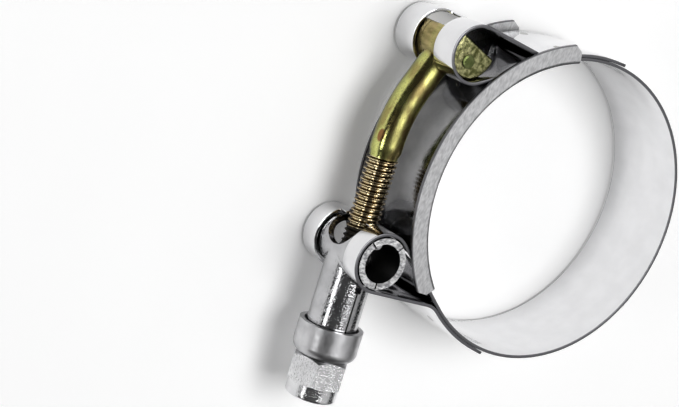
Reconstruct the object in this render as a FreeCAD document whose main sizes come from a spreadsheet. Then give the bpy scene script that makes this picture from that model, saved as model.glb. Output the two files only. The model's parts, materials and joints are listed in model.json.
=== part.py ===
import FreeCAD, Part
import Sketcher
import math
import os

V = FreeCAD.Vector
AXIS_Z = V(0, 0, 1)
ORIGIN = V(0, 0, 0)

# A T-bolt hose clamp lying flat. The ring's axis is Z and its middle plane is z = 0.
# X points from the ring's centre to the gap, where the bolt closes the ring, and
# Y points along the bolt from the T-shaped head to the nut.

DIMENSIONS = [
    ("band_width", "19", "width of the steel strip"),
    ("band_gauge", "0.6", "thickness of the steel strip"),
    ("hose_radius", "28.85", "radius of the hose that the clamp holds, at this opening"),
    ("bridge_gauge", "0.5", "thickness of the bridge sheet"),
    ("bridge_gap", "0.1", "running clearance between the bridge and the band"),
    ("flange_gap", "0.1", "clearance between a band edge and a bridge flange"),
    ("flange_reach", "3.85", "height of a bridge flange, from the hose"),
    ("bridge_bend", "0.3", "inside radius where a flange is folded up"),
    ("bridge_upper_angle", "69", "end of the bridge on the side of the T-shaped head"),
    ("bridge_lower_angle", "48", "end of the bridge on the side of the trunnion"),
    ("flange_snip", "1.5", "corner cut off each flange end"),
    ("eye_rise", "9.198", "distance of both band eyes from the inside of the band"),
    ("pivot_spread", "41.2", "distance between the two band eyes, along Y"),
    ("eye_clearance", "0.3", "clearance between a band eye and what turns in it"),
    ("lap_lead", "0.85", "how far behind its start each eye's strip comes back to the ring"),
    ("lap_bend", "4.5", "bend radius where the strip comes back to the ring"),
    ("lap_gap", "0.05", "air between the two layers of strip"),
    ("upper_tail", "15", "length of the lap on the side of the T-shaped head"),
    ("lower_tail", "13", "length of the lap on the side of the trunnion"),
    ("tail_tip", "2.2", "straight tip of each strip end, which lifts off the ring"),
    ("weld_radius", "1.2", "radius of a spot weld"),
    ("weld_step", "4.5", "distance of the spot welds from the start of the lap"),
    ("weld_low", "-6.9", "height of the lower spot weld of each lap, from the middle plane"),
    ("weld_high", "3.8", "height of the upper spot weld of each lap"),
    ("shank_slot_gap", "0.4", "clearance of the shank in the slot of the upper eye"),
    ("shank_slot_back", "1.6", "how far the upper slot reaches behind the eye's centre"),
    ("shank_slot_turn", "11.5", "direction in which the upper slot opens"),
    ("stem_slot_gap", "0.35", "clearance of the trunnion's stem in the lower slot"),
    ("front_slot_start", "1.8", "where the lower slot widens in front of the eye's centre"),
    ("stem_slot_back", "6.6", "how far the lower slot reaches behind the stem's axis"),
    ("thread_radius", "2.95", "outside radius of the bolt's thread"),
    ("shank_radius", "3.05", "radius of the bolt's plain shank"),
    ("neck_radius", "2.7", "radius where the thread runs out"),
    ("neck_length", "1", "length of the run-out"),
    ("bolt_lean", "9", "angle between the threaded end and the line of the eyes"),
    ("shank_lean", "14.5", "angle between the shank at the head and that line"),
    ("shank_bend", "28", "radius of the bend in the shank"),
    ("thread_start", "18", "distance from the trunnion's pivot back to the first thread"),
    ("head_length", "16.4", "length of the bolt's cylindrical head"),
    ("head_radius", "4.7", "radius of the bolt's cylindrical head"),
    ("head_back", "1.5", "distance from the head's axis to the flat on its back"),
    ("boss_radius", "1.3", "radius of the small boss on each end of the head"),
    ("boss_offset", "1.8", "distance of that boss from the head's axis"),
    ("boss_rise", "0.25", "height of that boss"),
    ("tube_radius", "4.95", "outside radius of the trunnion's cross tube"),
    ("sheet_gauge", "1.2", "thickness of the trunnion's sheet"),
    ("stem_radius", "4.85", "outside radius of the trunnion's stem"),
    ("stem_reach", "20.6", "distance from the trunnion's pivot to the end of its stem"),
    ("stem_fillet", "0.8", "rounding where the stem leaves the cross tube"),
    ("split_width", "0.35", "width of the short splits in the tube's ends"),
    ("split_depth", "0.9", "depth of those splits"),
    ("split_turn", "43", "angle of each split from the side away from the stem"),
    ("seam_gap", "0.35", "width of the seam where the folded sheet meets"),
    ("relief_radius", "1.3", "radius of the relief notch at the root of each seam"),
    ("relief_width", "1.4", "width of that notch across the seam"),
    ("saddle_radius", "4.2", "radius of the opening for the bolt in the cross tube"),
    ("saddle_rise", "4.3", "distance from the pivot to the centre of that opening"),
    ("cup_gap", "0.45", "clearance between the stem and the cup washer"),
    ("cup_wall", "0.9", "wall of the cup washer"),
    ("cup_floor", "0.9", "floor of the cup washer"),
    ("cup_height", "6.3", "height of the cup washer"),
    ("cup_round", "1.9", "outside radius of the cup's drawn edge"),
    ("cup_inner_round", "0.6", "inside radius of the cup's drawn edge"),
    ("seat_gap", "0.05", "air between two flat faces that bear on each other"),
    ("nut_flats", "10", "width across the nut's flats"),
    ("hex_height", "5.5", "height of the nut's hexagon"),
    ("hex_chamfer", "0.9", "how far the chamfer cuts into the hexagon's corners"),
    ("hex_chamfer_rise", "0.5", "height of that chamfer"),
    ("collar_radius", "4.95", "outside radius of the nut's collar"),
    ("collar_height", "2.7", "height of the collar above the hexagon"),
    ("collar_lip", "0.6", "thickness of the collar's rolled lip"),
    ("collar_flat", "0.06", "what the rounding leaves of the lip's edge"),
    ("collar_mouth", "3.5", "radius of the hole in the rolled lip"),
    ("insert_radius", "3.95", "outside radius of the nylon ring"),
    ("insert_height", "1.9", "height of the nylon ring"),
    ("insert_gap", "0.04", "clearance of the nylon ring in its seat"),
    ("thread_fit", "0.2", "radial clearance between the bolt and the nut"),
    ("nut_turn", "16", "rest angle of the hexagon about the bolt"),
]

DERIVED = [
    ("half_width", "=band_width / 2", "band edge"),
    ("band_radius", "=hose_radius + bridge_gauge + bridge_gap", "inside of the band"),
    ("bridge_outside", "=hose_radius + bridge_gauge", "outside of the bridge's base"),
    ("bridge_in_edge", "=half_width + flange_gap", "inner face of a flange"),
    ("bridge_out_edge", "=bridge_in_edge + bridge_gauge", "outer face of a flange"),
    ("flange_radius", "=hose_radius + flange_reach", "outer edge of a flange"),
    ("bridge_sweep", "=bridge_upper_angle + bridge_lower_angle", "length of the bridge"),
    ("bridge_out_bend", "=bridge_bend + bridge_gauge", "outside of the flange's fold"),
    ("stem_eye_radius", "=tube_radius + eye_clearance", "inside of the trunnion's eye"),
    ("head_eye_radius", "=head_radius + eye_clearance", "inside of the head's eye"),
    ("pivot_distance", "=band_radius + eye_rise", "distance of both eyes from the ring's axis"),
    ("pivot_half_spread", "=pivot_spread / 2", "distance of both eyes from the X axis"),
    ("pivot_reach", "=sqrt(pivot_distance ^ 2 - pivot_half_spread ^ 2)", "their distance along X"),
    ("shank_slot", "=2 * (shank_radius + shank_slot_gap)", "width of the upper slot"),
    ("stem_slot", "=2 * (stem_radius + stem_slot_gap)", "width of the lower slot"),
    ("nugget_length", "=band_gauge + lap_gap", "length of a weld through both layers"),
    ("tube_bore", "=tube_radius - sheet_gauge", "inside of the cross tube"),
    ("stem_bore", "=stem_radius - sheet_gauge", "inside of the stem"),
    ("cup_inside", "=stem_radius + cup_gap", "inside of the cup"),
    ("cup_outside", "=cup_inside + cup_wall", "outside of the cup"),
    ("cup_hole", "=shank_radius + thread_fit", "hole in the cup's floor"),
    ("hex_half", "=nut_flats / 2", "half the width across flats"),
    ("hex_corner", "=nut_flats / sqrt(3)", "corner of the hexagon"),
    ("hex_half_corner", "=hex_corner / 2", "half of the corner distance"),
    ("chamfer_in", "=hex_corner - hex_chamfer", "inner end of the chamfer"),
    ("chamfer_out", "=hex_corner + hex_chamfer", "safe distance outside the corner"),
    ("chamfer_low", "=hex_chamfer_rise", "top of the lower chamfer"),
    ("chamfer_high", "=hex_height - hex_chamfer_rise", "foot of the upper chamfer"),
    ("nut_height", "=hex_height + collar_height", "whole height of the nut"),
    ("insert_top", "=nut_height - collar_lip", "underside of the rolled lip"),
    ("insert_foot", "=insert_top - insert_height", "floor of the nylon ring's seat"),
    ("insert_seat", "=insert_radius + insert_gap", "wall of the nylon ring's seat"),
    ("nut_bore", "=thread_radius + thread_fit", "bore of the nut"),
    ("insert_low", "=insert_foot + insert_gap", "underside of the nylon ring"),
    ("insert_high", "=insert_top - insert_gap", "top of the nylon ring"),
    ("collar_round", "=collar_lip - collar_flat", "rounding of the collar's rim"),
]

doc = FreeCAD.newDocument("t_bolt_clamp")
sheet = doc.addObject("Spreadsheet::Sheet", "dims")
for row, (alias, text, meaning) in enumerate(DIMENSIONS + DERIVED, start=1):
    sheet.set("A%d" % row, meaning)
    sheet.set("B%d" % row, text)
    sheet.setAlias("B%d" % row, alias)
doc.recompute()


def size(alias):
    """The value of one named dimension, in millimetres or degrees."""
    return float(sheet.get(alias))


def bind(item, **properties):
    """Ties properties of an object to named dimensions or formulas of them."""
    for name, formula in properties.items():
        item.setExpression(name, formula)
    return item


def solid(kind, name, **properties):
    """A primitive solid whose sizes are tied to the named dimensions."""
    return bind(doc.addObject(kind, name), **properties)


def polar(radius, degrees):
    """A point of the middle plane at a radius and an angle about the ring's axis."""
    turn = math.radians(degrees)
    return V(radius * math.cos(turn), radius * math.sin(turn), 0)


def joined(name, first, second):
    """Two solids made one."""
    fuse = doc.addObject("Part::Fuse", name)
    fuse.Base = first
    fuse.Tool = second
    fuse.Refine = True
    return fuse


def cut_away(name, body, tool):
    """A solid with another taken out of it."""
    cut = doc.addObject("Part::Cut", name)
    cut.Base = body
    cut.Tool = tool
    cut.Refine = True
    return cut


def origin_plane(body, role):
    """One of a body's own origin planes."""
    return [item for item in body.Origin.OriginFeatures if item.Role == role][0]


def outline(body, role, name, corners):
    """A closed sketch whose corners are named dimensions, a minus sign allowed."""
    sketch = body.newObject("Sketcher::SketchObject", name)
    sketch.AttachmentSupport = (origin_plane(body, role), [""])
    sketch.MapMode = "FlatFace"
    places = []
    for corner in corners:
        across, along = [
            -size(word[1:]) if word.startswith("-") else (size(word) if word != "0" else 0.0)
            for word in corner
        ]
        places.append(V(across, along, 0))
    count = len(places)
    for index in range(count):
        side = Part.LineSegment(places[index], places[(index + 1) % count])
        sketch.addGeometry(side, False)
    for index in range(count):
        after = (index + 1) % count
        sketch.addConstraint(Sketcher.Constraint("Coincident", index, 2, after, 1))
    for index, corner in enumerate(corners):
        for kind, word, value in (
            ("DistanceX", corner[0], places[index].x),
            ("DistanceY", corner[1], places[index].y),
        ):
            number = sketch.addConstraint(Sketcher.Constraint(kind, -1, 1, index, 1, value))
            if word == "0":
                continue
            sign, alias = ("-", word[1:]) if word.startswith("-") else ("", word)
            sketch.setExpression("Constraints[%d]" % number, "%sdims.%s" % (sign, alias))
    return sketch


def lathe(body, kind, name, corners):
    """Turns an outline in the XZ plane once round the body's Z axis."""
    sketch = outline(body, "XZ_Plane", name + "_outline", corners)
    turned = body.newObject(kind, name)
    turned.Profile = sketch
    turned.ReferenceAxis = (sketch, ["V_Axis"])
    turned.Angle = 360
    body.Tip = turned
    doc.recompute()
    return turned


def circles_at(shape, places):
    """Names of the circular edges that lie at given radii and heights."""
    names = []
    for number, edge in enumerate(shape.Edges, start=1):
        if edge.Curve.TypeId != "Part::GeomCircle":
            continue
        for radius, height in places:
            near = abs(edge.Curve.Radius - radius) < 1e-4
            if near and abs(edge.Curve.Center.z - height) < 1e-4:
                names.append("Edge%d" % number)
    return names


def rounded(body, name, base, places, formula):
    """Rounds circular edges of a turned feature."""
    fillet = body.newObject("PartDesign::Fillet", name)
    fillet.Base = (base, circles_at(base.Shape, places))
    fillet.setExpression("Radius", formula)
    body.Tip = fillet
    doc.recompute()
    return fillet


def bolt_line():
    """The pivot of the trunnion and the direction of the threaded end of the bolt."""
    pivot = V(size("pivot_reach"), size("pivot_spread") / 2, 0)
    lean = math.radians(size("bolt_lean"))
    return pivot, V(-math.sin(lean), math.cos(lean), 0)


def on_bolt(distance, twist=0.0):
    """A place on the bolt's axis, with Z along the bolt towards the nut."""
    pivot, along = bolt_line()
    turn = FreeCAD.Rotation(AXIS_Z, along) * FreeCAD.Rotation(AXIS_Z, twist)
    return FreeCAD.Placement(pivot + along * distance, turn)


class Ribbon:
    """A strip of constant thickness that follows straight lines and arcs."""

    def __init__(self, thickness):
        self.half = thickness / 2
        self.left = []
        self.right = []

    def line(self, start, end):
        along = (end - start).normalize()
        normal = V(-along.y, along.x, 0)
        for edges, side in ((self.left, self.half), (self.right, -self.half)):
            shift = normal * side
            edges.append(Part.LineSegment(start + shift, end + shift).toShape())

    def arc(self, centre, radius, start, end):
        turns_left = end > start
        for edges, side in ((self.left, self.half), (self.right, -self.half)):
            reach = radius - side if turns_left else radius + side
            points = [centre + polar(reach, turn) for turn in (start, (start + end) / 2, end)]
            edges.append(Part.Arc(*points).toShape())

    def face(self):
        caps = []
        for number in (0, -1):
            ends = [edges[number].Vertexes[number].Point for edges in (self.left, self.right)]
            caps.append(Part.LineSegment(*ends).toShape())
        wire = Part.Wire(Part.__sortEdges__(self.left + self.right + caps))
        return Part.Face(wire)


def strap_angles(eye_radius):
    """Where the strip leaves the ring for an eye, and where it comes back to the ring."""
    ring = size("band_radius") + size("band_gauge") / 2
    loop = eye_radius + size("band_gauge") / 2
    pivot = bolt_line()[0]
    pivot_angle = math.degrees(math.atan2(pivot.y, pivot.x))
    leave = pivot_angle + math.degrees(math.acos((ring + loop) / pivot.Length))
    return leave, leave + math.degrees(size("lap_lead") / ring)


def strap_half(eye_radius, tail_length):
    """Half of the strip: half of the ring, one eye, and the lap back on the ring."""
    gauge = size("band_gauge")
    ring = size("band_radius") + gauge / 2
    lap = ring + gauge + size("lap_gap")
    loop = eye_radius + gauge / 2
    bend = size("lap_bend")
    pivot = bolt_line()[0]
    leave, land = strap_angles(eye_radius)
    tail_angle = land + math.degrees(tail_length / lap)
    bend_centre = polar(lap + bend, land)
    span = bend_centre - pivot
    span_angle = math.degrees(math.atan2(span.y, span.x))
    depart = span_angle - math.degrees(math.acos((loop + bend) / span.Length))
    strip = Ribbon(gauge)
    strip.arc(ORIGIN, ring, 180, leave)
    strip.line(polar(ring, leave), pivot - polar(loop, leave))
    strip.arc(pivot, loop, leave + 180, depart + 360)
    strip.line(pivot + polar(loop, depart), bend_centre - polar(bend, depart))
    strip.arc(bend_centre, bend, depart + 180, land + 180)
    strip.arc(ORIGIN, lap, land, tail_angle)
    tail = polar(lap, tail_angle)
    strip.line(tail, tail + polar(size("tail_tip"), tail_angle + 90))
    return strip.face()


def slot_box(name, base, turn, reach, opening):
    """A box that opens a slot through an eye, centred on the middle plane. It lies past its
    base along the turned X axis, and along the turned Y axis too."""
    box = solid("Part::Box", name, Length=reach, Width=reach, Height="dims." + opening)
    corner = base - AXIS_Z * size(opening) / 2
    box.Placement = FreeCAD.Placement(corner, FreeCAD.Rotation(AXIS_Z, turn))
    return box


def make_band():
    """The band: one strip of steel that makes the ring and an eye at each end."""
    profiles = {
        "lower": strap_half(size("stem_eye_radius"), size("lower_tail")),
        "upper": strap_half(size("head_eye_radius"), size("upper_tail")).mirror(ORIGIN, V(0, 1, 0)),
    }
    halves = []
    for side, face in profiles.items():
        profile = doc.addObject("Part::Feature", side + "_profile")
        profile.Shape = face
        half = doc.addObject("Part::Extrusion", side + "_half")
        half.Base = profile
        half.DirMode = "Custom"
        half.Dir = AXIS_Z
        half.Solid = True
        half.Symmetric = True
        half.setExpression("LengthFwd", "dims.band_width")
        halves.append(half)
    strip = joined("strip", *halves)

    pivot, along = bolt_line()
    head = V(pivot.x, -pivot.y, 0)
    turn = size("shank_slot_turn")
    head_eye = 2 * size("head_eye_radius")
    upper_base = head - polar(size("shank_slot_back"), turn) - polar(head_eye, turn + 90)
    upper = slot_box("shank_slot", upper_base, turn, "4 * dims.head_eye_radius", "shank_slot")

    lean = size("bolt_lean")
    stem_eye = 2 * size("stem_eye_radius")
    reach = "2 * dims.stem_eye_radius"
    stem_base = pivot - polar(size("stem_slot_back"), lean) + along * size("seam_gap")
    stem = slot_box("stem_slot", stem_base, lean, reach, "stem_slot")
    front_base = pivot + polar(size("front_slot_start"), lean) - along * stem_eye / 2
    front = slot_box("front_slot", front_base, lean, reach, "stem_slot")
    bolt_back = size("thread_radius") + size("shank_slot_gap")
    bolt_base = pivot - polar(bolt_back, lean) - along * stem_eye
    bolt = slot_box("bolt_slot", bolt_base, lean, reach, "shank_slot")
    slots = joined("slots", joined("lower_slots", joined("stem_slots", stem, front), bolt), upper)
    open_strip = cut_away("slotted_strip", strip, slots)

    nuggets = []
    radius = size("band_radius") + size("band_gauge") / 2
    step = math.degrees(size("weld_step") / radius)
    for sign, eye_radius in ((-1, size("head_eye_radius")), (1, size("stem_eye_radius"))):
        for level in ("weld_low", "weld_high"):
            nugget = solid("Part::Cylinder", "weld", Radius="dims.weld_radius",
                           Height="dims.nugget_length")
            base = polar(radius, sign * (strap_angles(eye_radius)[1] + step))
            outward = FreeCAD.Rotation(AXIS_Z, base)
            base.z = size(level)
            nugget.Placement = FreeCAD.Placement(base, outward)
            nuggets.append(nugget)
    welded = doc.addObject("Part::MultiFuse", "welded_band")
    welded.Shapes = [open_strip] + nuggets
    welded.Refine = True
    welded.Label = "band"
    return welded


def make_bridge():
    """The bridge: a curved channel that closes the gap inside the band."""
    body = doc.addObject("PartDesign::Body", "bridge_body")
    corners = [
        ("hose_radius", "-bridge_out_edge"), ("flange_radius", "-bridge_out_edge"),
        ("flange_radius", "-bridge_in_edge"), ("bridge_outside", "-bridge_in_edge"),
        ("bridge_outside", "bridge_in_edge"), ("flange_radius", "bridge_in_edge"),
        ("flange_radius", "bridge_out_edge"), ("hose_radius", "bridge_out_edge"),
    ]
    channel = lathe(body, "PartDesign::Revolution", "channel", corners)
    channel.setExpression("Angle", "dims.bridge_sweep")
    doc.recompute()
    inner, outer = size("bridge_outside"), size("hose_radius")
    edge_in, edge_out = size("bridge_in_edge"), size("bridge_out_edge")
    inside = rounded(body, "inside_folds", channel, [(inner, -edge_in), (inner, edge_in)],
                     "dims.bridge_bend")
    folded = rounded(body, "outside_folds", inside, [(outer, -edge_out), (outer, edge_out)],
                     "dims.bridge_out_bend")
    corners = []
    for number, edge in enumerate(folded.Shape.Edges, start=1):
        ends = [vertex.Point for vertex in edge.Vertexes]
        upright = len(ends) == 2 and abs(ends[1].z - ends[0].z) > size("bridge_gauge") / 2
        outermost = all(math.hypot(end.x, end.y) > size("flange_radius") - 1e-4 for end in ends)
        if upright and outermost:
            corners.append("Edge%d" % number)
    snips = body.newObject("PartDesign::Chamfer", "flange_snips")
    snips.Base = (folded, corners)
    snips.setExpression("Size", "dims.flange_snip")
    body.Tip = snips
    doc.recompute()
    middle = body.Shape.BoundBox.Center
    swings_up = middle.y > 0
    start = -size("bridge_upper_angle") if swings_up else size("bridge_lower_angle")
    body.Placement = FreeCAD.Placement(ORIGIN, FreeCAD.Rotation(AXIS_Z, start))
    body.Label = "bridge"
    return body


def make_t_bolt():
    """The T-bolt: a cross head that turns in its eye, a bent shank and a thread."""
    pivot, along = bolt_line()
    head_at = V(pivot.x, -pivot.y, 0)
    shank_turn = 90 - size("shank_lean")
    shank_way = polar(1, shank_turn)
    bend_angle = size("shank_lean") + size("bolt_lean")
    gap = pivot - head_at
    corner = gap.cross(along).z / shank_way.cross(along).z
    vertex = head_at + shank_way * corner
    setback = size("shank_bend") * math.tan(math.radians(bend_angle / 2))
    radius = size("shank_radius")

    head = solid("Part::Cylinder", "head_bar", Radius="dims.head_radius",
                 Height="dims.head_length")
    head.Placement.Base = head_at - AXIS_Z * size("head_length") / 2
    flat = solid("Part::Box", "head_flat", Length="dims.head_radius",
                 Width="2 * dims.head_radius", Height="dims.head_length")
    flat_turn = shank_turn + 180
    flat_base = head_at + polar(size("head_back"), flat_turn)
    flat_base = flat_base - polar(size("head_radius"), flat_turn + 90)
    flat.Placement = FreeCAD.Placement(
        flat_base - AXIS_Z * size("head_length") / 2, FreeCAD.Rotation(AXIS_Z, flat_turn))
    head_solid = cut_away("head", head, flat)
    boss = solid("Part::Cylinder", "head_boss", Radius="dims.boss_radius",
                 Height="dims.head_length + 2 * dims.boss_rise")
    boss_at = head_at + shank_way * size("boss_offset")
    boss.Placement.Base = boss_at - AXIS_Z * (size("head_length") / 2 + size("boss_rise"))

    neck_part = solid("Part::Cylinder", "shank_root", Radius="dims.shank_radius")
    neck_part.Height = corner - setback
    neck_part.Placement = FreeCAD.Placement(head_at, FreeCAD.Rotation(AXIS_Z, shank_way))

    bend = solid("Part::Torus", "shank_bow", Radius1="dims.shank_bend",
                 Radius2="dims.shank_radius", Angle3="dims.shank_lean + dims.bolt_lean")
    bend_start = vertex - shank_way * setback
    bend_centre = bend_start + polar(size("shank_bend"), shank_turn + 90)
    bend.Placement = FreeCAD.Placement(
        bend_centre, FreeCAD.Rotation(AXIS_Z, shank_turn - 90))

    thread_at = pivot - along * size("thread_start")
    straight_at = vertex + along * setback
    straight = solid("Part::Cylinder", "shank_end", Radius="dims.shank_radius")
    straight.Height = (thread_at - straight_at).Length - size("neck_length")
    straight.Placement = FreeCAD.Placement(straight_at, FreeCAD.Rotation(AXIS_Z, along))

    neck = solid("Part::Cone", "run_out", Radius1="dims.shank_radius",
                 Radius2="dims.neck_radius", Height="dims.neck_length")
    neck_at = thread_at - along * size("neck_length")
    neck.Placement = FreeCAD.Placement(neck_at, FreeCAD.Rotation(AXIS_Z, along))

    chamfer = size("thread_radius") - size("neck_radius")
    thread = solid("Part::Cylinder", "thread_bar", Radius="dims.thread_radius")
    cup_foot = size("stem_reach") + size("seat_gap") + size("cup_floor")
    nut_end = cup_foot + size("seat_gap") + size("nut_height")
    thread_end = nut_end - size("collar_lip")
    thread.Height = size("thread_start") + thread_end - chamfer
    thread.Placement = FreeCAD.Placement(thread_at, FreeCAD.Rotation(AXIS_Z, along))
    point = solid("Part::Cone", "thread_point", Radius1="dims.thread_radius",
                  Radius2="dims.neck_radius")
    point.Height = chamfer
    point.Placement = on_bolt(thread_end - chamfer)

    bolt = doc.addObject("Part::MultiFuse", "bolt")
    bolt.Shapes = [head_solid, boss, neck_part, bend, straight, neck, thread, point]
    bolt.Refine = True
    bolt.Label = "t_bolt"
    return bolt


def make_trunnion():
    """The trunnion: one folded sheet that is a cross tube with a stem below it."""
    # Its own Y axis runs down the stem, and its Z axis is the cross tube's.
    down = FreeCAD.Rotation(V(1, 0, 0), -90)
    tube = solid("Part::Cylinder", "cross_tube", Radius="dims.tube_radius",
                 Height="dims.band_width")
    tube.Placement.Base = V(0, 0, -size("half_width"))
    stem = solid("Part::Cylinder", "stem", Radius="dims.stem_radius",
                 Height="dims.stem_reach")
    stem.Placement = FreeCAD.Placement(ORIGIN, down)
    tee = joined("tee", tube, stem)
    doc.recompute()
    outside = doc.addObject("Part::Fillet", "rounded_tee")
    outside.Base = tee
    rounding = size("stem_fillet")
    outside.Edges = [
        (number, rounding, rounding) for number, edge in enumerate(tee.Shape.Edges, start=1)
        if edge.Curve.TypeId == "Part::GeomBSplineCurve"
    ]

    tube_bore = solid("Part::Cylinder", "tube_hollow", Radius="dims.tube_bore",
                      Height="dims.band_width")
    tube_bore.Placement.Base = V(0, 0, -size("half_width"))
    stem_bore = solid("Part::Cylinder", "stem_hollow", Radius="dims.stem_bore",
                      Height="dims.stem_reach")
    stem_bore.Placement = FreeCAD.Placement(ORIGIN, down)
    hollow = joined("hollow", tube_bore, stem_bore)
    shell = cut_away("tee_shell", outside, hollow)

    saddle = solid("Part::Cylinder", "bolt_opening", Radius="dims.saddle_radius",
                   Height="4 * dims.tube_radius")
    saddle_at = V(-2 * size("tube_radius"), -size("saddle_rise"), 0)
    saddle.Placement = FreeCAD.Placement(saddle_at, FreeCAD.Rotation(V(0, 1, 0), 90))
    opened = cut_away("saddle_shell", shell, saddle)

    seam = solid("Part::Box", "seam", Length="dims.seam_gap", Width="dims.stem_reach",
                 Height="2 * dims.band_width")
    seam.Placement.Base = V(-size("seam_gap") / 2, size("tube_bore") / 2, -size("band_width"))
    cuts = seam
    for side in (-1, 1):
        relief = solid("Part::Cylinder", "seam_relief", Radius="dims.relief_radius",
                       Height="dims.relief_width")
        relief_at = V(-size("relief_width") / 2,
                      size("tube_radius") + size("relief_radius"), side * size("stem_radius"))
        relief.Placement = FreeCAD.Placement(relief_at, FreeCAD.Rotation(V(0, 1, 0), 90))
        cuts = joined("seam_cuts", cuts, relief)
        for lean in (-size("split_turn"), size("split_turn")):
            split = solid("Part::Box", "split", Length="dims.tube_radius",
                          Width="dims.split_width", Height="2 * dims.split_depth")
            split_way = polar(size("tube_bore") / 2, lean - 90)
            split_at = split_way - polar(size("split_width") / 2, lean)
            split_at.z = side * size("half_width") - size("split_depth")
            split.Placement = FreeCAD.Placement(split_at, FreeCAD.Rotation(AXIS_Z, lean - 90))
            cuts = joined("end_cuts", cuts, split)
    trunnion = cut_away("trunnion_sheet", opened, cuts)
    trunnion.Refine = False
    pivot, along = bolt_line()
    trunnion.Placement = FreeCAD.Placement(
        pivot, FreeCAD.Rotation(AXIS_Z, size("bolt_lean")))
    trunnion.Label = "trunnion"
    return trunnion


def make_cup():
    """The cup washer: a drawn cup that the end of the stem stands in."""
    body = doc.addObject("PartDesign::Body", "cup_body")
    corners = [
        ("cup_hole", "0"), ("cup_hole", "cup_floor"), ("cup_inside", "cup_floor"),
        ("cup_inside", "cup_height"), ("cup_outside", "cup_height"), ("cup_outside", "0"),
    ]
    wall = lathe(body, "PartDesign::Revolution", "cup_wall_turned", corners)
    inner = [(size("cup_inside"), size("cup_floor"))]
    drawn = rounded(body, "inner_edge", wall, inner, "dims.cup_inner_round")
    rounded(body, "outer_edge", drawn, [(size("cup_outside"), 0)], "dims.cup_round")
    foot = size("stem_reach") + size("seat_gap") + size("cup_floor")
    flip = FreeCAD.Placement(ORIGIN, FreeCAD.Rotation(V(1, 0, 0), 180))
    body.Placement = on_bolt(foot) * flip
    body.Label = "cup_washer"
    return body


def make_nut():
    """The lock nut: a hexagon with a round collar that holds a nylon ring."""
    body = doc.addObject("PartDesign::Body", "nut_body")
    hexagon = outline(body, "XY_Plane", "hexagon", [
        ("hex_corner", "0"), ("hex_half_corner", "hex_half"), ("-hex_half_corner", "hex_half"),
        ("-hex_corner", "0"), ("-hex_half_corner", "-hex_half"), ("hex_half_corner", "-hex_half"),
    ])
    block = body.newObject("PartDesign::Pad", "hexagon_block")
    block.Profile = hexagon
    block.setExpression("Length", "dims.hex_height")
    body.Tip = block
    doc.recompute()
    lathe(body, "PartDesign::Groove", "lower_chamfer", [
        ("chamfer_in", "0"), ("chamfer_out", "0"), ("chamfer_out", "chamfer_low"),
        ("hex_corner", "chamfer_low"),
    ])
    lathe(body, "PartDesign::Groove", "upper_chamfer", [
        ("chamfer_in", "hex_height"), ("hex_corner", "chamfer_high"),
        ("chamfer_out", "chamfer_high"), ("chamfer_out", "hex_height"),
    ])
    collar = lathe(body, "PartDesign::Revolution", "collar", [
        ("nut_bore", "hex_half_corner"), ("collar_radius", "hex_half_corner"),
        ("collar_radius", "nut_height"), ("nut_bore", "nut_height"),
    ])
    rounded(body, "collar_rim", collar, [(size("collar_radius"), size("nut_height"))],
            "dims.collar_round")
    lathe(body, "PartDesign::Groove", "bore", [
        ("0", "0"), ("nut_bore", "0"), ("nut_bore", "insert_foot"),
        ("insert_seat", "insert_foot"), ("insert_seat", "insert_top"),
        ("collar_mouth", "insert_top"), ("collar_mouth", "nut_height"), ("0", "nut_height"),
    ])
    body.Placement = on_bolt(nut_place(), size("nut_turn"))
    body.Label = "lock_nut"
    return body


def nut_place():
    """Distance from the trunnion's pivot to the nut's bearing face."""
    return size("stem_reach") + size("cup_floor") + 2 * size("seat_gap")


def make_insert():
    """The nylon ring that grips the thread, caught under the collar's lip."""
    body = doc.addObject("PartDesign::Body", "insert_body")
    lathe(body, "PartDesign::Revolution", "ring", [
        ("nut_bore", "insert_low"), ("insert_radius", "insert_low"),
        ("insert_radius", "insert_high"), ("nut_bore", "insert_high"),
    ])
    body.Placement = on_bolt(nut_place())
    body.Label = "nut_insert"
    return body


pieces = [
    make_band(), make_bridge(), make_t_bolt(), make_trunnion(),
    make_cup(), make_nut(), make_insert(),
]
doc.recompute()

for item in doc.Objects:
    if "Invalid" in item.State or "Error" in item.State:
        raise RuntimeError("%s did not build: %s" % (item.Label, item.State))
os.makedirs("parts", exist_ok=True)
for piece in pieces:
    if piece.Shape.isNull() or not piece.Shape.isValid():
        raise RuntimeError("%s has no valid shape" % piece.Label)
    count = len(piece.Shape.Solids)
    print("%-12s solids %d  volume %.1f mm3" % (piece.Label, count, piece.Shape.Volume))
    piece.Shape.exportStep("parts/%s.step" % piece.Label)
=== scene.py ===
import json
import math

import bpy
from mathutils import Matrix, Vector


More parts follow.
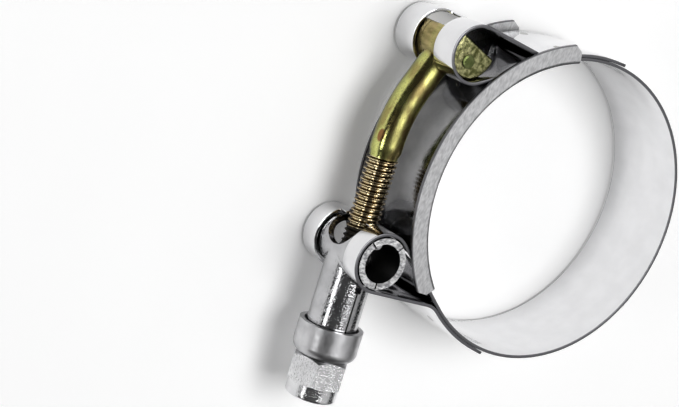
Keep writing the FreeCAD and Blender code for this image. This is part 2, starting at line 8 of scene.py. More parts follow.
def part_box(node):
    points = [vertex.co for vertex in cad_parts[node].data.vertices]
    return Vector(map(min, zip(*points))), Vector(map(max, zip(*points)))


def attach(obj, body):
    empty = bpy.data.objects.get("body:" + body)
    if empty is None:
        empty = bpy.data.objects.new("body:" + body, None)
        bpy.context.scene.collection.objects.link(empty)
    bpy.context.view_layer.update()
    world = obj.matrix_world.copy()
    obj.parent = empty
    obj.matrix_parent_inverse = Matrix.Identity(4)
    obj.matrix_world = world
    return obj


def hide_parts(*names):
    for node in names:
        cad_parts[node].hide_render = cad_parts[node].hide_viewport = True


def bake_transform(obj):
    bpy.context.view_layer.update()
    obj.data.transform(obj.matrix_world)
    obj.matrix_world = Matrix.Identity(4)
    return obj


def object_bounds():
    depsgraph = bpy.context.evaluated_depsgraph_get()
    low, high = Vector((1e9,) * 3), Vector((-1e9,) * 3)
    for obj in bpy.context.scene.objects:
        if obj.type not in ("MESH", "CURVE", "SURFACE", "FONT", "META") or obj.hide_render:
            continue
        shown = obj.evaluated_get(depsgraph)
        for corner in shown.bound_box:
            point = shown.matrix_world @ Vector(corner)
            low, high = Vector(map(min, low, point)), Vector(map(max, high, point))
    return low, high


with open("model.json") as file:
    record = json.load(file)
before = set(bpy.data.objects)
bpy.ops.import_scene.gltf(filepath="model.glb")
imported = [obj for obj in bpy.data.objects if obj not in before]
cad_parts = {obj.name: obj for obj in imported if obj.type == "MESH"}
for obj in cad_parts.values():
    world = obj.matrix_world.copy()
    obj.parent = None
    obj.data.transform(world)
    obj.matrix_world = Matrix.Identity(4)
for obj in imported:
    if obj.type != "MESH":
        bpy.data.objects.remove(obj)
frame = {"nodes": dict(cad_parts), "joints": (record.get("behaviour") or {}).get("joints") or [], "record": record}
cad_low, cad_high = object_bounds()
bpy.ops.object.select_all(action="DESELECT")

# The view. The clamp lies flat on the floor and is seen from the side of its gap, from
# above, with the view turned so that the bolt runs down the left of the picture.
view_place = Vector((0.23434, -0.01584, 0.26346))
view_aim = Vector((0.04014, 0.01411, 0.0))
view_roll = math.radians(121.44)
view_lens = 95.84

camera_data = bpy.data.cameras.new("camera")
camera_data.lens = view_lens
camera_data.clip_start = 0.01
camera = bpy.data.objects.new("camera", camera_data)
bpy.context.scene.collection.objects.link(camera)
level_view = (view_aim - view_place).to_track_quat("-Z", "Y").to_matrix().to_4x4()
camera.matrix_world = (
    Matrix.Translation(view_place) @ level_view @ Matrix.Rotation(view_roll, 4, "Z"))
bpy.context.scene.camera = camera

# The band is one strip of polished stainless steel. Each end leaves the ring, wraps round
# an eye and comes back to lie on the ring, where two spot welds hold it. The upper eye is
# slotted for the bolt's shank and the lower one for the trunnion's stem.
joints = {joint["name"]: joint for joint in frame["joints"]}
head_eye = Vector(joints["head_pivot"]["pos_m"])
stem_eye = Vector(joints["trunnion_pivot"]["pos_m"])
hose_radius = frame["record"]["mounts"][0]["dims"]["r_mm"] / 1000
bridge_gauge = 0.0005
bridge_gap = 0.0001
band_gauge = 0.0006
band_half_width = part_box("band")[1].z
ring = hose_radius + bridge_gauge + bridge_gap + band_gauge / 2
lap_gap = 0.00005
lap = ring + band_gauge + lap_gap
head_loop = 0.005 + band_gauge / 2
stem_loop = 0.00525 + band_gauge / 2
lap_bend = 0.0045
lap_lead = 0.00085
upper_tail = 0.015
lower_tail = 0.013
tail_tip = 0.0022
shank_slot_half = 0.00345
stem_slot_half = 0.0052
shank_slot_back = 0.0016
stem_slot_start = 0.00035
stem_slot_back = 0.0066
front_slot_start = 0.0018
shank_side = 0.00335
edge_round = 0.00008
back_of_ring = 180
bend_step = 3


def polar(radius, degrees):
    turn = math.radians(degrees)
    return Vector((radius * math.cos(turn), radius * math.sin(turn), 0))


def bearing(point):
    return math.degrees(math.atan2(point.y, point.x))


def drawn_line(name, points):
    """A line drawn point by point: a small plane drawn together to one corner, then extruded."""
    bpy.ops.object.select_all(action="DESELECT")
    bpy.ops.mesh.primitive_plane_add(size=0.001, location=points[0])
    piece = bpy.context.object
    piece.name = name
    bpy.ops.object.transform_apply(location=True, rotation=True, scale=True)
    bpy.ops.object.mode_set(mode="EDIT")
    bpy.ops.mesh.select_mode(type="VERT")
    bpy.ops.mesh.select_all(action="SELECT")
    bpy.ops.mesh.merge(type="CENTER")
    for before, after in zip(points, points[1:]):
        bpy.ops.mesh.extrude_region_move(TRANSFORM_OT_translate={"value": after - before})
    bpy.ops.mesh.select_all(action="SELECT")
    return piece


def apply_modifier(piece, kind, **settings):
    """Adds a modifier with its settings and applies it."""
    bpy.ops.object.select_all(action="DESELECT")
    bpy.context.view_layer.objects.active = piece
    piece.select_set(True)
    modifier = piece.modifiers.new(kind.lower(), kind)
    for setting, value in settings.items():
        setattr(modifier, setting, value)
    bpy.ops.object.modifier_apply(modifier=modifier.name)


def wrap(centre, turn_from, turn_to):
    """Takes the strip's end round an arc about an upright line."""
    turn = turn_to - turn_from
    steps = max(2, round(abs(turn) / bend_step))
    bpy.ops.mesh.spin(steps=steps, angle=math.radians(-turn), center=centre, axis=(0, 0, 1))


def leaving(loop):
    """Where the strip leaves the ring for an eye, as an angle about the ring's axis."""
    return bearing(stem_eye) + math.degrees(math.acos((ring + loop) / stem_eye.length))


def band_half(side, loop, tail_length):
    """One half of the strip, from the ring's back to its end. Side is -1 at the bolt's head."""
    leave = leaving(loop)
    land = leave + math.degrees(lap_lead / ring)
    land_centre = polar(lap + lap_bend, land)
    span = land_centre - stem_eye
    depart = bearing(span) - math.degrees(math.acos((loop + lap_bend) / span.length))
    tail = land + math.degrees(tail_length / lap)

    def flipped(point):
        return Vector((point.x, side * point.y, point.z))

    def run(start, end):
        bpy.ops.mesh.extrude_region_move(
            TRANSFORM_OT_translate={"value": flipped(end) - flipped(start)})

    levels = [-band_half_width, -stem_slot_half, -shank_slot_half,
              shank_slot_half, stem_slot_half, band_half_width]
    piece = drawn_line("half", [polar(ring, back_of_ring) + Vector((0, 0, z)) for z in levels])
    wrap((0, 0, 0), side * back_of_ring, side * leave)
    run(polar(ring, leave), stem_eye - polar(loop, leave))
    wrap(flipped(stem_eye), side * (leave + 180), side * (depart + 360))
    run(stem_eye + polar(loop, depart), land_centre - polar(lap_bend, depart))
    wrap(flipped(land_centre), side * (depart + 180), side * (land + 180))
    wrap((0, 0, 0), side * land, side * tail)
    run(Vector((0, 0, 0)), polar(tail_tip, tail + 90))
    bpy.ops.object.mode_set(mode="OBJECT")
    return piece


def open_slot(piece, half_width, walls):
    """Cuts the strip's middle across at each wall, a point and a direction, and takes out
    what lies past all of them."""
    tiny = 1e-6
    near_eye = 4 * stem_loop

    def in_slot(face):
        middle = all(abs(piece.data.vertices[v].co.z) < half_width + tiny for v in face.vertices)
        return middle and (face.center - walls[0][0]).length < near_eye

    for place, direction in walls:
        for face in piece.data.polygons:
            face.select = in_slot(face)
        bpy.ops.object.mode_set(mode="EDIT")
        bpy.ops.mesh.bisect(plane_co=place, plane_no=direction)
        bpy.ops.mesh.select_all(action="DESELECT")
        bpy.ops.object.mode_set(mode="OBJECT")
    for face in piece.data.polygons:
        past = all((face.center - place).dot(direction) > 0 for place, direction in walls)
        face.select = past and in_slot(face)
    bpy.ops.object.mode_set(mode="EDIT")
    bpy.ops.mesh.delete(type="FACE")
    bpy.ops.object.mode_set(mode="OBJECT")


lower_half = band_half(1, stem_loop, lower_tail)
band = band_half(-1, head_loop, upper_tail)
lower_half.select_set(True)
bpy.ops.object.join()
band.name = "band_strip"
bpy.ops.object.mode_set(mode="EDIT")
bpy.ops.mesh.select_mode(type="FACE")
bpy.ops.mesh.select_all(action="SELECT")
bpy.ops.mesh.remove_doubles(threshold=1e-6)
bpy.ops.mesh.normals_make_consistent(inside=False)
bpy.ops.mesh.select_all(action="DESELECT")
bpy.ops.object.mode_set(mode="OBJECT")

bolt_lean = 9
shank_lean = 14.5
shank_slot_turn = 11.5
bolt_way = polar(1, 90 + bolt_lean)
slot_way = polar(1, shank_slot_turn)
open_slot(band, shank_slot_half, [(head_eye - slot_way * shank_slot_back, slot_way)])
stem_side = polar(1, bolt_lean)
open_slot(band, stem_slot_half, [(stem_eye + bolt_way * stem_slot_start, bolt_way),
                                 (stem_eye - stem_side * stem_slot_back, stem_side)])
open_slot(band, stem_slot_half, [(stem_eye + stem_side * front_slot_start, stem_side)])
open_slot(band, shank_slot_half, [(stem_eye, -bolt_way),
                                  (stem_eye - stem_side * shank_side, stem_side)])
apply_modifier(band, "SOLIDIFY", thickness=band_gauge, offset=0, use_even_offset=True)
apply_modifier(band, "BEVEL", width=edge_round, segments=2, limit_method="ANGLE",
               angle_limit=math.radians(40))
bpy.ops.object.shade_smooth_by_angle(angle=math.radians(35))


def add_node(tree, kind, inputs, **settings):
    """A shader node; each input is a number, a colour or another node's socket."""
    item = tree.nodes.new(kind)
    for setting, value in settings.items():
        setattr(item, setting, value)
    for socket, value in inputs.items():
        if isinstance(value, bpy.types.NodeSocket):
            tree.links.new(value, item.inputs[socket])
        else:
            item.inputs[socket].default_value = value
    return item


def nodes_of(material):
    """A material's node tree, and a socket that gives the place on the piece."""
    tree = material.node_tree
    return tree, add_node(tree, "ShaderNodeTexCoord", {}).outputs["Object"]


def new_material(name):
    material = bpy.data.materials.new(name)
    material.use_nodes = True
    tree, place = nodes_of(material)
    return material, tree, tree.nodes["Principled BSDF"], place


def noise(tree, place, scale, detail=2.0, stretch=(1, 1, 1)):
    """Soft random grey, with the pattern drawn out along an axis by a small stretch."""
    drawn = add_node(tree, "ShaderNodeMapping", {"Vector": place, "Scale": stretch})
    return add_node(tree, "ShaderNodeTexNoise", {
        "Vector": drawn.outputs["Vector"], "Scale": scale, "Detail": detail}).outputs["Fac"]


def ramp(tree, value, low, high, start=0.35, end=0.65):
    """A value brought from one range of the pattern to a range of numbers."""
    return add_node(tree, "ShaderNodeMapRange", {
        "Value": value, "From Min": start, "From Max": end, "To Min": low, "To Max": high,
    }).outputs["Result"]


def combined(tree, operation, first, second):
    return add_node(tree, "ShaderNodeMath", {0: first, 1: second},
                    operation=operation).outputs["Value"]


def mixed(tree, value, first, second):
    """A colour between two, by a value from 0 to 1."""
    mix = add_node(tree, "ShaderNodeMix", {"Factor": value}, data_type="RGBA")
    for number, colour in ((6, first), (7, second)):
        if isinstance(colour, bpy.types.NodeSocket):
            tree.links.new(colour, mix.inputs[number])
        else:
            mix.inputs[number].default_value = (*colour, 1)
    return mix.outputs[2]


def bumps(tree, height, distance, below=None):
    inputs = {"Height": height, "Distance": distance}
    if below is not None:
        inputs["Normal"] = below
    return add_node(tree, "ShaderNodeBump", inputs).outputs["Normal"]


def distance_to(tree, place, point):
    """How far the surface is from a point of the object."""
    offset = add_node(tree, "ShaderNodeVectorMath", {0: place, 1: point}, operation="SUBTRACT")
    return add_node(tree, "ShaderNodeVectorMath", {0: offset.outputs["Vector"]},
                    operation="LENGTH").outputs["Value"]


def height_of(tree, place):
    """How far the surface is above or below mid-width."""
    level = add_node(tree, "ShaderNodeSeparateXYZ", {"Vector": place}).outputs["Z"]
    return combined(tree, "ABSOLUTE", level, 0.0)


def radius_about(tree, place, point):
    """How far the surface is from the upright line through a point."""
    flat = add_node(tree, "ShaderNodeMapping", {"Vector": place, "Scale": (1, 1, 0)})
    return distance_to(tree, flat.outputs["Vector"], Vector((point.x, point.y, 0)))


def laid_over(tree, mask, colour=None, roughness=None, relief=None):
    """Lays a colour, a least roughness and a relief over a material where the mask is 1."""
    inputs = tree.nodes["Principled BSDF"].inputs
    below = {name: inputs[name].links[0].from_socket
             for name in ("Base Color", "Roughness", "Normal")}
    if colour is not None:
        tree.links.new(mixed(tree, mask, below["Base Color"], colour), inputs["Base Color"])
    if roughness is not None:
        least = combined(tree, "MULTIPLY", mask, roughness)
        tree.links.new(combined(tree, "MAXIMUM", below["Roughness"], least), inputs["Roughness"])
    if relief is not None:
        tree.links.new(bumps(tree, mask, relief, below["Normal"]), inputs["Normal"])


def steel(name, bright, dull, rough, lines, wave, pits, grain=(1, 1, 22)):
    """Steel in two tones, with a range of roughness, fine lines along the grain, a slow
    unevenness that bends reflections, and small pits. Heights are in metres."""
    material, tree, shader, place = new_material(name)
    cloud = ramp(tree, noise(tree, place, scale=260, detail=3), 0, 1)
    tree.links.new(mixed(tree, cloud, bright, dull), shader.inputs["Base Color"])
    shader.inputs["Metallic"].default_value = 1.0
    smear = ramp(tree, noise(tree, place, scale=900, detail=4), rough[0], rough[1])
    tree.links.new(smear, shader.inputs["Roughness"])
    slow = bumps(tree, noise(tree, place, scale=110, detail=1), wave)
    fine = bumps(tree, noise(tree, place, scale=500, detail=2, stretch=grain), lines, below=slow)
    speckle = ramp(tree, noise(tree, place, scale=3200, detail=2), 0, 1, 0.5, 0.75)
    tree.links.new(bumps(tree, speckle, pits, below=fine), shader.inputs["Normal"])
    return material


band_steel = steel("band_steel", bright=(0.8, 0.8, 0.81), dull=(0.76, 0.76, 0.77),
                   rough=(0.04, 0.09), lines=0.0000006, wave=0.00001, pits=0.0000004)
tree, place = nodes_of(band_steel)
weld_step = 0.0045
weld_levels = (-0.0069, 0.0038)
weld_radius = 0.00095
weld_depth = 0.0002
dents = None
for side, loop in ((-1, head_loop), (1, stem_loop)):
    turn = leaving(loop) + math.degrees((lap_lead + weld_step) / ring)
    for level in weld_levels:
        centre = polar(lap + band_gauge / 2, side * turn) + Vector((0, 0, level))
        away = distance_to(tree, place, centre)
        dent = ramp(tree, away, 1, 0, 0.7 * weld_radius, weld_radius)
        dents = dent if dents is None else combined(tree, "MAXIMUM", dents, dent)
laid_over(tree, dents, colour=(0.3, 0.29, 0.28), relief=-weld_depth)
# The strip's cut edges are rougher, as sheared steel, and are painted dark as shade along the rims.
rim_shade_range = (band_half_width - 0.0002, band_half_width - 0.0001)
band_rim_shade = ramp(tree, height_of(tree, place), 0, 1, *rim_shade_range)
laid_over(tree, band_rim_shade, colour=(0.16, 0.16, 0.17), roughness=0.3)
band.data.materials.clear()
band.data.materials.append(band_steel)
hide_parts("band")
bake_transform(band)

# The bridge is a curved channel of thin stainless sheet that closes the gap inside the
# band. Its two sides are folded out over the band's edges, and their cut edges are satin.
# The bridge's steel is set darker than the band's, the same stainless: painted shade for its dark base.
bridge_steel = steel("bridge_steel", bright=(0.44, 0.44, 0.45), dull=(0.34, 0.34, 0.35),
                     rough=(0.08, 0.16), lines=0.000002, wave=0.00001, pits=0.000003)
tree, place = nodes_of(bridge_steel)
flange_low = band_half_width + bridge_gap
flange = ramp(tree, height_of(tree, place), 0, 1, flange_low - 0.0001, flange_low)
scratches = noise(tree, place, scale=2600, detail=6, stretch=(1, 0.35, 1))
brushed = mixed(tree, ramp(tree, scratches, 0, 1), (0.74, 0.74, 0.75), (0.52, 0.52, 0.53))
laid_over(tree, flange, colour=brushed, roughness=0.3)
laid_over(tree, combined(tree, "MULTIPLY", flange, scratches), relief=0.000012)
radius = radius_about(tree, place, Vector((0, 0, 0)))
flange_reach = 0.00385
flange_edge = hose_radius + flange_reach
# Painted shade: the flanges are darkened along their inner bend and their outer cut edge.
bend_shade = (hose_radius + 0.0003, hose_radius + 0.00065)
cut_shade = (flange_edge - 0.0003, flange_edge - 0.00015)
bend_edge = ramp(tree, radius, 1, 0, *bend_shade)
cut_edge = ramp(tree, radius, 0, 1, *cut_shade)
flange_edge_shade = combined(tree, "MULTIPLY", flange, combined(tree, "MAXIMUM", bend_edge, cut_edge))
laid_over(tree, flange_edge_shade, colour=(0.17, 0.17, 0.18))
frame["nodes"]["bridge"].material_slots[0].material = bridge_steel

# The T-bolt is cold headed from steel wire, bent, and rolled with a 1 mm thread. Its
# cylindrical head has a flat on its back and turns in the upper eye. It is zinc plated
# and passivated yellow, and the thread's crests are worn to brass brown.
bolt_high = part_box("t_bolt")[1]
head_radius = 0.0047
head_half = 0.0082
head_flat = 0.0015
head_flat_turn = 255.5
head_round = 0.00035
shank_radius = 0.00305
shank_bend = 0.028
shank_way = polar(1, 90 - shank_lean)
bend_angle = shank_lean + bolt_lean
gap = stem_eye - head_eye
corner = gap.cross(bolt_way).z / shank_way.cross(bolt_way).z
bend_corner = head_eye + shank_way * corner
setback = shank_bend * math.tan(math.radians(bend_angle / 2))
thread_at = stem_eye - bolt_way * 0.018
neck_length = 0.001
neck_radius = 0.0027
thread_radius = 0.00295
thread_depth = 0.00058
pitch = 0.001
end_chamfer = 0.0006
end_margin = 0.0006
bolt_sides = 96
boss_sides = 48
shank_sides = 64
bend_steps = 24
thread_sides = 48

bpy.ops.object.select_all(action="DESELECT")
bpy.ops.mesh.primitive_cylinder_add(vertices=bolt_sides, radius=head_radius,
                                    depth=2 * head_half, location=head_eye)
head = bpy.context.object
bpy.ops.object.transform_apply(location=True, rotation=True, scale=True)
bpy.ops.object.mode_set(mode="EDIT")
bpy.ops.mesh.select_all(action="SELECT")
flat_way = polar(1, head_flat_turn)
bpy.ops.mesh.bisect(plane_co=head_eye + flat_way * head_flat, plane_no=flat_way,
                    use_fill=True, clear_outer=True)
bpy.ops.object.mode_set(mode="OBJECT")
apply_modifier(head, "BEVEL", width=head_round, segments=4, limit_method="ANGLE",
               angle_limit=math.radians(30))

boss_radius = 0.0013
boss_offset = 0.0018
boss_round = 0.0001
boss_at = head_eye + polar(boss_offset, 90 - shank_lean)
bpy.ops.object.select_all(action="DESELECT")
bpy.ops.mesh.primitive_cylinder_add(vertices=boss_sides, radius=boss_radius,
                                    depth=2 * bolt_high.z, location=boss_at)
boss = bpy.context.object
bpy.ops.object.transform_apply(location=True, rotation=True, scale=True)
apply_modifier(boss, "BEVEL", width=boss_round, segments=3, limit_method="ANGLE",
               angle_limit=math.radians(30))

bpy.ops.object.select_all(action="DESELECT")
bpy.ops.mesh.primitive_circle_add(vertices=shank_sides, radius=shank_radius, location=head_eye,
                                  rotation=(math.radians(90), 0, math.radians(-shank_lean)))
shank = bpy.context.object
bpy.ops.object.transform_apply(location=True, rotation=True, scale=True)
bpy.ops.object.mode_set(mode="EDIT")
bpy.ops.mesh.select_mode(type="VERT")
bpy.ops.mesh.select_all(action="SELECT")
bpy.ops.mesh.extrude_region_move(
    TRANSFORM_OT_translate={"value": shank_way * (corner - setback)})
bow_start = bend_corner - shank_way * setback
bow_centre = bow_start + polar(shank_bend, 180 - shank_lean)
bpy.ops.mesh.spin(steps=bend_steps, angle=math.radians(-bend_angle), center=bow_centre,
                  axis=(0, 0, 1))
straight_at = bend_corner + bolt_way * setback
neck_at = thread_at - bolt_way * neck_length
bpy.ops.mesh.extrude_region_move(TRANSFORM_OT_translate={"value": neck_at - straight_at})
bpy.ops.mesh.extrude_region_move(TRANSFORM_OT_translate={"value": bolt_way * neck_length})
thin = neck_radius / shank_radius
bpy.ops.transform.resize(value=(thin, thin, thin), center_override=thread_at)
bpy.ops.mesh.extrude_region_move(TRANSFORM_OT_translate={"value": bolt_way * pitch / 2})
bpy.ops.mesh.select_all(action="SELECT")
bpy.ops.mesh.fill_holes(sides=0)
bpy.ops.mesh.normals_make_consistent(inside=False)
bpy.ops.object.mode_set(mode="OBJECT")

thread_length = (bolt_high.y - end_margin - thread_at.y) / bolt_way.y
root_radius = thread_radius - thread_depth
crest = pitch * 0.14
root = pitch * 0.2
flank = (pitch - crest - root) / 2
thread = drawn_line("thread", [
    Vector((root_radius, 0, -pitch)), Vector((root_radius, 0, root - pitch)),
    Vector((thread_radius, 0, root + flank - pitch)),
    Vector((thread_radius, 0, root + flank + crest - pitch)), Vector((root_radius, 0, 0))])
bpy.ops.object.mode_set(mode="OBJECT")
apply_modifier(thread, "SCREW", axis="Z", angle=math.radians(360), screw_offset=pitch,
               iterations=int(thread_length / pitch) + 3, steps=thread_sides,
               render_steps=thread_sides, use_merge_vertices=True, merge_threshold=1e-7,
               use_smooth_shade=True)
bpy.ops.object.mode_set(mode="EDIT")
bpy.ops.mesh.select_all(action="SELECT")
bpy.ops.mesh.normals_make_consistent(inside=False)
thread_trim = 0.00002
bpy.ops.mesh.bisect(plane_co=(0, 0, thread_trim), plane_no=(0, 0, 1), use_fill=True,
                    clear_inner=True)
bpy.ops.mesh.select_all(action="SELECT")
bpy.ops.mesh.bisect(plane_co=(0, 0, thread_length), plane_no=(0, 0, 1), use_fill=True,
                    clear_outer=True)
bpy.ops.object.mode_set(mode="OBJECT")
bpy.ops.object.select_all(action="DESELECT")
bpy.ops.mesh.primitive_cylinder_add(vertices=bolt_sides, radius=thread_radius,
                                    depth=thread_length, location=(0, 0, thread_length / 2))
envelope = bpy.context.object
apply_modifier(envelope, "BEVEL", width=end_chamfer, segments=1, limit_method="ANGLE",
               angle_limit=math.radians(60))
apply_modifier(thread, "BOOLEAN", operation="INTERSECT", object=envelope, solver="EXACT")
bpy.data.objects.remove(envelope)
thread.matrix_world = (
    Matrix.Translation(thread_at) @ bolt_way.to_track_quat("Z", "Y").to_matrix().to_4x4())
bpy.ops.object.select_all(action="DESELECT")
thread.select_set(True)
bpy.context.view_layer.objects.active = thread
bpy.ops.object.transform_apply(location=True, rotation=True, scale=True)


def zinc(name, gold, olive, brown, rough, pits):
    """Yellow passivated zinc: gold that drifts to olive and, in streaks, to brown."""
    material, tree, shader, place = new_material(name)
    drift = noise(tree, place, scale=130, detail=2, stretch=(1, 0.4, 1))
    base = mixed(tree, ramp(tree, drift, 0, 1, 0.4, 0.62), gold, olive)
    streaks = noise(tree, place, scale=520, detail=5, stretch=(1, 0.3, 1))
    base = mixed(tree, ramp(tree, streaks, 0, 0.85, 0.46, 0.62), base, brown)
    grime = noise(tree, place, scale=5200, detail=3)
    base = mixed(tree, ramp(tree, grime, 0, 0.8, 0.56, 0.66), base, (0.1, 0.08, 0.03))
    tree.links.new(base, shader.inputs["Base Color"])
    shader.inputs["Metallic"].default_value = 1.0
    smear = ramp(tree, noise(tree, place, scale=1500, detail=4), rough[0], rough[1])
    tree.links.new(smear, shader.inputs["Roughness"])
    slow = bumps(tree, noise(tree, place, scale=180, detail=2), 0.000014)
    speckle = ramp(tree, noise(tree, place, scale=3000, detail=2), 0, 1, 0.5, 0.75)
    tree.links.new(bumps(tree, speckle, pits, below=slow), shader.inputs["Normal"])
    return material


yellow_zinc = zinc("yellow_zinc", gold=(0.72, 0.74, 0.25), olive=(0.45, 0.51, 0.14),
                   brown=(0.34, 0.26, 0.1), rough=(0.13, 0.26), pits=0.000006)
tree, place = nodes_of(yellow_zinc)
height = height_of(tree, place)
# Painted shade: the shank's top, about 2 to 4 mm above mid-level, is darkened to brown in patches and made
# rougher.
shade_starts = (0.0019, 0.0025)
shade_ends = (0.0034, 0.0042)
upper_side_shade = combined(tree, "MULTIPLY", ramp(tree, height, 0, 1, *shade_starts),
                      ramp(tree, height, 1, 0, *shade_ends))
patches = ramp(tree, noise(tree, place, scale=600, detail=4, stretch=(1, 0.4, 1)), 0.6, 1)
laid_over(tree, combined(tree, "MULTIPLY", upper_side_shade, patches), colour=(0.1, 0.075, 0.03),
          roughness=0.5)
# Painted shade: the shank's lower side, below about mid-level, is darkened to olive in patches.
level = add_node(tree, "ShaderNodeSeparateXYZ", {"Vector": place}).outputs["Z"]
lower_ends = (-0.0006, 0.0013)
lower_side_shade = combined(tree, "MULTIPLY", ramp(tree, level, 0.9, 0, *lower_ends), patches)
laid_over(tree, lower_side_shade, colour=(0.18, 0.18, 0.05))
# Painted shade: the head's round side near mid-width is darkened to mottled browns.
from_axis = radius_about(tree, place, head_eye)
head_shade_ends = (0.0046, 0.0062)
head_shade_reach = (head_radius + 0.0001, head_radius + 0.0008)
head_middle_shade = combined(tree, "MULTIPLY", ramp(tree, height, 0.75, 0, *head_shade_ends),
                     ramp(tree, from_axis, 1, 0, *head_shade_reach))
head_shade_mottle = ramp(tree, noise(tree, place, scale=900, detail=4, stretch=(1, 1, 0.4)), 0, 1)
head_shade_colour = mixed(tree, head_shade_mottle, (0.16, 0.12, 0.05), (0.42, 0.32, 0.15))
laid_over(tree, head_middle_shade, colour=head_shade_colour, roughness=0.2)
end_starts = (head_half - 0.0003, head_half - 0.0001)
end_face = ramp(tree, height, 0, 0.9, *end_starts)
grain = noise(tree, place, scale=1100, detail=5)
mottled = mixed(tree, ramp(tree, grain, 0, 1, 0.4, 0.62), (0.06, 0.065, 0.02), (0.5, 0.48, 0.25))
laid_over(tree, end_face, colour=mottled)
laid_over(tree, combined(tree, "MULTIPLY", end_face, grain), relief=0.00008)
boss_starts = (head_half + 0.00002, head_half + 0.00006)
boss_face = ramp(tree, height, 0, 0.85, *boss_starts)
laid_over(tree, boss_face, colour=(0.11, 0.14, 0.045))
chip_at = Vector((0.03882, -0.00036, 0.0011))
chip_half_length = 0.0014
chip_slimness = 1.7
narrowed = add_node(tree, "ShaderNodeMapping", {"Vector": place, "Scale": (1, 1, chip_slimness)})
chip_at.z *= chip_slimness
away = distance_to(tree, narrowed.outputs["Vector"], chip_at)
chip = ramp(tree, away, 1, 0, 0.75 * chip_half_length, chip_half_length)
laid_over(tree, chip, colour=(0.25, 0.13, 0.05))

thread_zinc = zinc("thread_zinc", gold=(0.78, 0.66, 0.42), olive=(0.62, 0.5, 0.28),
                   brown=(0.5, 0.37, 0.2), rough=(0.16, 0.28), pits=0.000002)
tree, place = nodes_of(thread_zinc)
along = add_node(tree, "ShaderNodeVectorMath", {0: place, 1: thread_at}, operation="SUBTRACT")
across = add_node(tree, "ShaderNodeVectorMath", {0: along.outputs["Vector"], 1: bolt_way},
                  operation="CROSS_PRODUCT")
from_core = add_node(tree, "ShaderNodeVectorMath", {0: across.outputs["Vector"]},
                     operation="LENGTH").outputs["Value"]
# Painted shade: the thread's flanks are darkened between root and crest, so that the crests stand out.
flank_starts = (root_radius + 0.00003, root_radius + 0.00015)
flank_ends = (thread_radius - 0.00015, thread_radius - 0.00003)
thread_flank_shade = combined(tree, "MULTIPLY", ramp(tree, from_core, 0, 1, *flank_starts),
                  ramp(tree, from_core, 1, 0, *flank_ends))
laid_over(tree, thread_flank_shade, colour=(0.12, 0.085, 0.04), roughness=0.3)
# Painted shade: the thread is made near black and rough where it passes through the trunnion's cross tube.
stem_mouth_reach = (0.0044, 0.0056)
stem_mouth_shade = ramp(tree, distance_to(tree, place, stem_eye), 1, 0, *stem_mouth_reach)
laid_over(tree, stem_mouth_shade, colour=(0.03, 0.027, 0.02), roughness=0.4)
for piece, material in ((head, yellow_zinc), (boss, yellow_zinc), (shank, yellow_zinc),
                        (thread, thread_zinc)):
    piece.data.materials.clear()
    piece.data.materials.append(material)
bpy.ops.object.select_all(action="DESELECT")
for piece in (boss, shank, thread, head):
    piece.select_set(True)
bpy.context.view_layer.objects.active = head
bpy.ops.object.join()
t_bolt = head
t_bolt.name = "t_bolt_forged"
bpy.ops.object.shade_smooth_by_angle(angle=math.radians(30))
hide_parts("t_bolt")
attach(t_bolt, "t_bolt")

# The trunnion is one polished sheet folded to a cross tube with a stem below it. Its ends
# are sheared, so their faces are rough and pale, and the tube's bore is rough and painted
# near black as shade.
trunnion_steel = steel("trunnion_steel", bright=(0.56, 0.56, 0.57), dull=(0.44, 0.44, 0.45),
                       rough=(0.08, 0.18), lines=0.000001, wave=0.00004, pits=0.000018,
                       grain=(1, 0.2, 1))
tree, place = nodes_of(trunnion_steel)
# Painted shade: the tube's bore is made near black and rough.
bore_reach = (0.0038, 0.004)
bore_shade = ramp(tree, radius_about(tree, place, stem_eye), 1, 0, *bore_reach)
laid_over(tree, bore_shade, colour=(0.05, 0.05, 0.05), roughness=0.4)
sheared_starts = (band_half_width - 0.00006, band_half_width - 0.00002)
sheared = ramp(tree, height_of(tree, place), 0, 1, *sheared_starts)
streaks = noise(tree, place, scale=1300, detail=6, stretch=(1, 1.8, 1))
pale = mixed(tree, ramp(tree, streaks, 0, 1, 0.4, 0.6), (0.26, 0.26, 0.27), (0.66, 0.66, 0.66))
laid_over(tree, sheared, colour=pale, roughness=0.4)
laid_over(tree, combined(tree, "MULTIPLY", sheared, streaks), relief=0.00018)
frame["nodes"]["trunnion"].material_slots[0].material = trunnion_steel

# The cup washer is drawn from thick steel sheet and tumbled, which leaves it matt and a
# little dented. The stem's end stands in it, and its floor bears on the nut.
washer_steel = steel("washer_steel", bright=(0.64, 0.64, 0.65), dull=(0.46, 0.46, 0.47),
                     rough=(0.32, 0.44), lines=0.0000004, wave=0.00016, pits=0.000004)
frame["nodes"]["cup_washer"].material_slots[0].material = washer_steel

# The lock nut is a bright plated steel hexagon. Its round collar is rolled over the nylon
# ring that holds it on the bolt's thread.
nut_steel = steel("nut_steel", bright=(0.8, 0.8, 0.81), dull=(0.64, 0.64, 0.65),
                  rough=(0.1, 0.2), lines=0.0000004, wave=0.00003, pits=0.00002)
frame["nodes"]["lock_nut"].material_slots[0].material = nut_steel

# The nylon ring is moulded, lies in the nut's collar and grips the thread. Only its inner
# edge shows, at the nut's mouth.
nylon, tree, shader, place = new_material("nylon")
dye = noise(tree, place, scale=900, detail=3)
tree.links.new(mixed(tree, dye, (0.2, 0.3, 0.6), (0.14, 0.23, 0.5)), shader.inputs["Base Color"])
shader.inputs["Roughness"].default_value = 0.45
frame["nodes"]["nut_insert"].material_slots[0].material = nylon

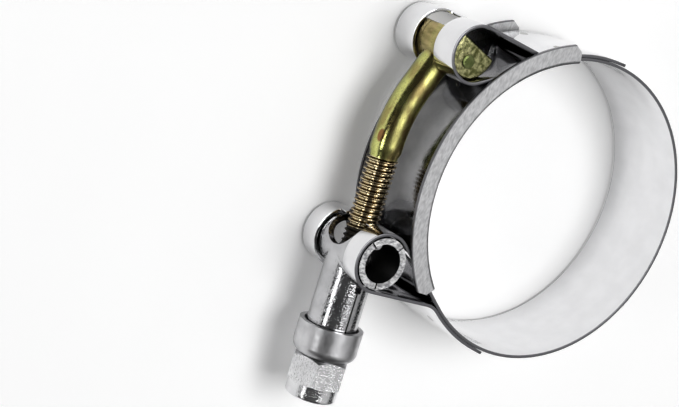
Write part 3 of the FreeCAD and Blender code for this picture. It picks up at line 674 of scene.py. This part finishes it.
# The floor is a plain pale sheet, and the light is that of a small studio: a main lamp
# above, a broad one behind, a low one in front, and a room that darkens towards its foot.
bpy.ops.object.select_all(action="DESELECT")
floor_size = 6
bpy.ops.mesh.primitive_plane_add(size=floor_size, location=(0, 0, cad_low.z))
floor = bpy.context.object
floor.name = "floor"
floor_glow = 0.2
floor_paint, tree, shader, place = new_material("floor_paint")
cloud = noise(tree, place, scale=40, detail=2)
tree.links.new(mixed(tree, cloud, (0.93, 0.93, 0.93), (0.9, 0.9, 0.9)),
               shader.inputs["Base Color"])
shader.inputs["Roughness"].default_value = 0.6
seen = add_node(tree, "ShaderNodeLightPath", {})
direct = combined(tree, "MAXIMUM", seen.outputs["Is Camera Ray"], seen.outputs["Is Glossy Ray"])
direct = combined(tree, "MAXIMUM", direct, seen.outputs["Is Transmission Ray"])
shader.inputs["Emission Color"].default_value = (1, 1, 1, 1)
tree.links.new(combined(tree, "MULTIPLY", direct, floor_glow), shader.inputs["Emission Strength"])
floor.data.materials.append(floor_paint)


def lamp(name, place, aim, wide, deep, power):
    data = bpy.data.lights.new(name, "AREA")
    data.shape = "RECTANGLE"
    data.size = wide
    data.size_y = deep
    data.energy = power
    item = bpy.data.objects.new(name, data)
    bpy.context.scene.collection.objects.link(item)
    item.matrix_world = (
        Matrix.Translation(place)
        @ (aim - place).to_track_quat("-Z", "Y").to_matrix().to_4x4())


middle = (cad_low + cad_high) / 2
lamp("key_lamp", Vector((-0.07, -0.22, 1.22)), middle, wide=0.75, deep=0.75, power=12)
lamp("far_lamp", Vector((-0.79, 0.12, 0.96)), middle, wide=1.3, deep=1.0, power=2.0)
lamp("near_lamp", Vector((1.1, 0.4, 0.43)), middle, wide=0.35, deep=0.25, power=1.4)

world = bpy.data.worlds.new("room")
bpy.context.scene.world = world
world.use_nodes = True
tree = world.node_tree
way = add_node(tree, "ShaderNodeTexCoord", {}).outputs["Generated"]
height = add_node(tree, "ShaderNodeSeparateXYZ", {"Vector": way}).outputs["Z"]
wall = add_node(tree, "ShaderNodeValToRGB", {"Fac": height})
stops = wall.color_ramp.elements
stops[0].position = 0.0
stops[0].color = (0.02, 0.02, 0.02, 1)
stops[1].position = 1.0
stops[1].color = (0.08, 0.08, 0.08, 1)
tree.links.new(wall.outputs["Color"], tree.nodes["Background"].inputs["Color"])

bpy.context.scene.view_settings.view_transform = "Standard"
